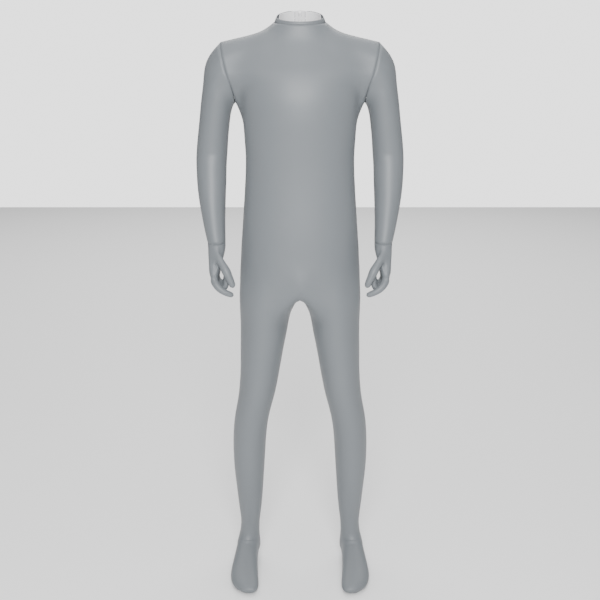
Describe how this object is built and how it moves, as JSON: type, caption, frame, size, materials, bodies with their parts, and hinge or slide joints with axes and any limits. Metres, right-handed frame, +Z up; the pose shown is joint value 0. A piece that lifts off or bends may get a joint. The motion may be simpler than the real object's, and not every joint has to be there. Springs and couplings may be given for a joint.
{
  "type": "full body spandex suit",
  "caption": "Full body spandex suit worn hollow: mock neck, set-in sleeves with gloves, enclosed feet and a centre back zip.",
  "frame": {"origin": "centre of the shoulder line, where the wearer's shoulders carry the suit", "axes": "+Z up, -Y is the front, +X is the wearer's left"},
  "size_m": [0.5608, 0.2898, 1.5819],
  "materials": {
    "grey_spandex": "smooth knit with a soft sheen",
    "white_tricot": "matt knit",
    "white_tape": "woven tape",
    "white_teeth": "moulded",
    "white_slider": "enamel"
  },
  "bodies": {
    "suit": {"front": "grey_spandex", "back_left": "grey_spandex", "back_right": "grey_spandex", "sleeve_left": "grey_spandex", "sleeve_right": "grey_spandex", "glove_left": "grey_spandex", "glove_right": "grey_spandex", "sole_left": "grey_spandex", "sole_right": "grey_spandex", "neckband": "grey_spandex", "neck_facing_left": "white_tricot", "neck_facing_right": "white_tricot", "zip_tape_left": "white_tape", "zip_tape_right": "white_tape", "zip_chain": "white_teeth", "zip_slider": "white_slider"},
    "pull_tab": {"pull_tab": "white_slider"}
  },
  "joints": [
    {"name": "pull_tab_swing", "type": "hinge", "parent": "suit", "child": "pull_tab", "pos_m": [0, 0.06102, 0.12719], "axis": [1, 0, 0], "range_deg": [0, 110]}
  ]
}
